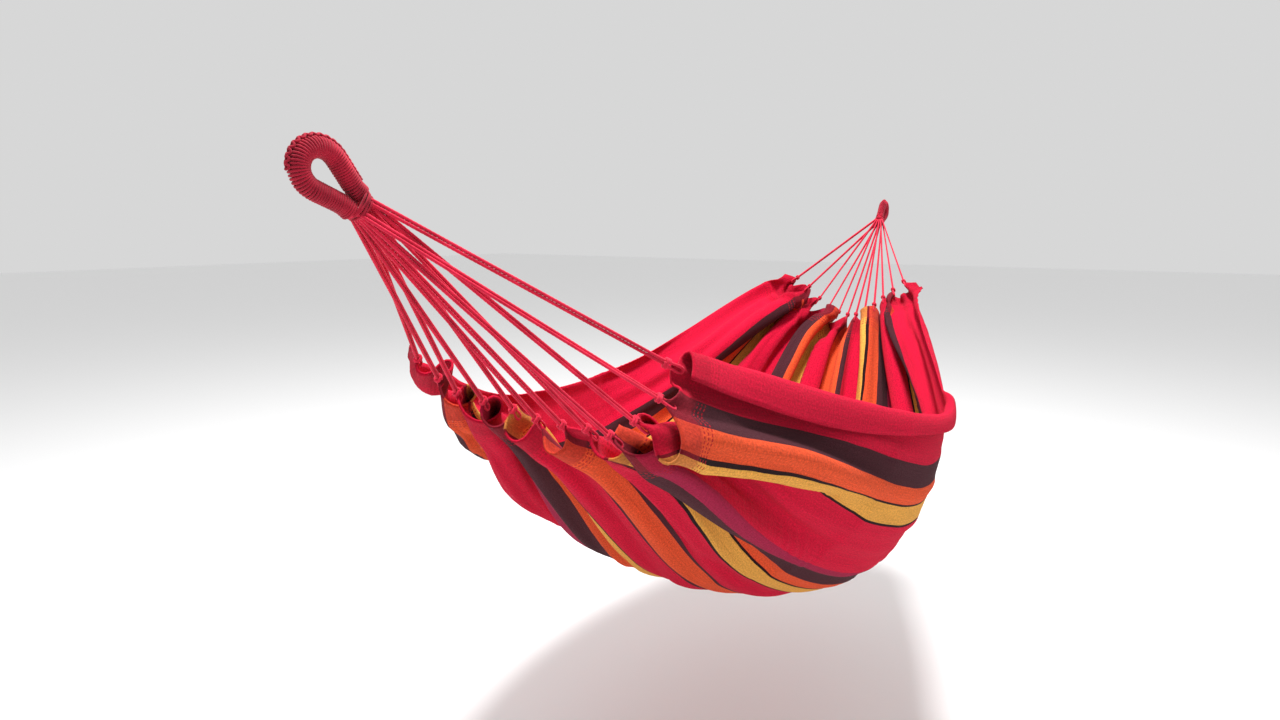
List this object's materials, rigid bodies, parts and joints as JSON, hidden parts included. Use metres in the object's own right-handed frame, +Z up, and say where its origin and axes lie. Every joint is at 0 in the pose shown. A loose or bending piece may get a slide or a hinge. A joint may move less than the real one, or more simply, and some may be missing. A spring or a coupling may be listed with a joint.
{
  "type": "hammock",
  "caption": "Hammock of striped woven cloth, gathered at both ends onto fans of doubled cords that run up to whipped rope loops, hung empty between two hooks.",
  "frame": {"origin": "the seat of the head hook: the inside of the head loop's bend, where the hook bears", "axes": "+X from the head hook to the foot hook, +Z up, +Y to the left of someone who looks from head to foot"},
  "size_m": [2.697, 1.1295, 1.1897],
  "materials": {
    "striped_cloth": "matte",
    "cord": "matte",
    "whipping": "matte"
  },
  "bodies": {
    "head_loop": {"head_loop_core": "cord", "head_loop_whipping": "whipping", "head_loop_ridge": "whipping", "head_neck_seizing": "whipping"},
    "bed": {"bed_cloth": "striped_cloth", "head_cord_knots": "cord", "foot_cord_knots": "cord", "head_cord_01": "cord", "head_cord_02": "cord", "head_cord_03": "cord", "head_cord_04": "cord", "head_cord_05": "cord", "head_cord_06": "cord", "head_cord_07": "cord", "head_cord_08": "cord", "head_cord_09": "cord", "head_cord_10": "cord", "head_cord_11": "cord", "head_cord_12": "cord", "foot_cord_01": "cord", "foot_cord_02": "cord", "foot_cord_03": "cord", "foot_cord_04": "cord", "foot_cord_05": "cord", "foot_cord_06": "cord", "foot_cord_07": "cord", "foot_cord_08": "cord", "foot_cord_09": "cord", "foot_cord_10": "cord", "foot_cord_11": "cord", "foot_cord_12": "cord"},
    "foot_loop": {"foot_loop_core": "cord", "foot_loop_whipping": "whipping", "foot_loop_ridge": "whipping", "foot_neck_seizing": "whipping"}
  },
  "joints": [
    {"name": "bed_swing", "type": "hinge", "parent": "head_loop", "child": "bed", "pos_m": [0.06894, 0, -0.05785], "axis": [1, 0, 0], "range_deg": [-30, 30]},
    {"name": "foot_loop_swivel", "type": "hinge", "parent": "bed", "child": "foot_loop", "pos_m": [2.55106, 0, -0.05785], "axis": [1, 0, 0], "range_deg": [-30, 30]}
  ],
  "couplings": [
    {"joint": "foot_loop_swivel", "follows": "bed_swing", "ratio": -1}
  ]
}
